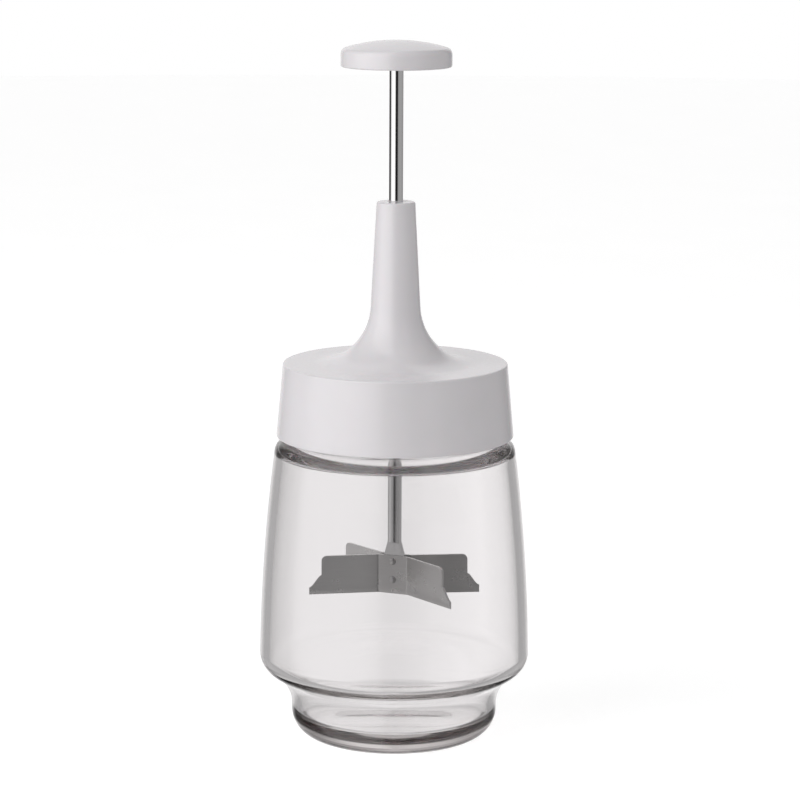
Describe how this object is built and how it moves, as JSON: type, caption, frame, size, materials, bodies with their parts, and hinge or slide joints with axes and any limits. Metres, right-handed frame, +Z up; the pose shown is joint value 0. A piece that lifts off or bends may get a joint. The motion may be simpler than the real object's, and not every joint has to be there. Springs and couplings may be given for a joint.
{
  "type": "plunger food chopper",
  "caption": "Push-down food chopper: clear glass jar with a flared belly, white screw lid with a trumpet neck, and a sprung rod carrying a domed knob and crossed blades.",
  "frame": {"origin": "centre of the plane that the jar's foot stands on, on the rod's axis", "axes": "+Z up along the rod; the blades' flat plates face -Y and +Y"},
  "size_m": [0.0938, 0.0938, 0.2416],
  "materials": {
    "clear_glass": "clear moulded soda glass, polished",
    "seal_rubber": "soft translucent silicone, satin",
    "white_plastic": "glossy white moulded plastic",
    "spring_steel": "drawn stainless wire",
    "chrome_rod": "bright polished rod",
    "blade_steel": "rolled stainless strip, satin"
  },
  "bodies": {
    "jar": {"jar": "clear_glass"},
    "seal": {"seal_ring": "seal_rubber"},
    "retainer": {"spring_retainer": "white_plastic"},
    "lid": {"lid": "white_plastic", "return_spring": "spring_steel"},
    "washer": {"spring_washer": "spring_steel"},
    "plunger": {"rod": "chrome_rod", "retaining_clip": "spring_steel", "push_knob": "white_plastic", "blade_front": "blade_steel", "blade_back": "blade_steel", "blade_rivet_upper": "blade_steel", "blade_rivet_lower": "blade_steel"}
  },
  "joints": [
    {"name": "lid_lift", "type": "slide", "parent": "jar", "child": "seal", "axis": [0, 0, 1], "range_m": [0, 0.09]},
    {"name": "lid_rise", "type": "slide", "parent": "seal", "child": "retainer", "axis": [0, 0, 1], "range_m": [0, 0.00667]},
    {"name": "lid_turn", "type": "hinge", "parent": "retainer", "child": "lid", "pos_m": [0, 0, 0.12], "axis": [0, 0, 1], "range_deg": [0, 400]},
    {"name": "plunge", "type": "slide", "parent": "lid", "child": "washer", "axis": [0, 0, -1], "range_m": [0, 0.0414], "stiffness_N_per_m": 350, "springref_m": -0.015, "deforming": ["return_spring"]},
    {"name": "spin", "type": "hinge", "parent": "washer", "child": "plunger", "pos_m": [0, 0, 0.15], "axis": [0, 0, 1], "continuous": true}
  ],
  "couplings": [
    {"joint": "lid_rise", "follows": "lid_turn", "m_per_rad": 0.00095493}
  ]
}
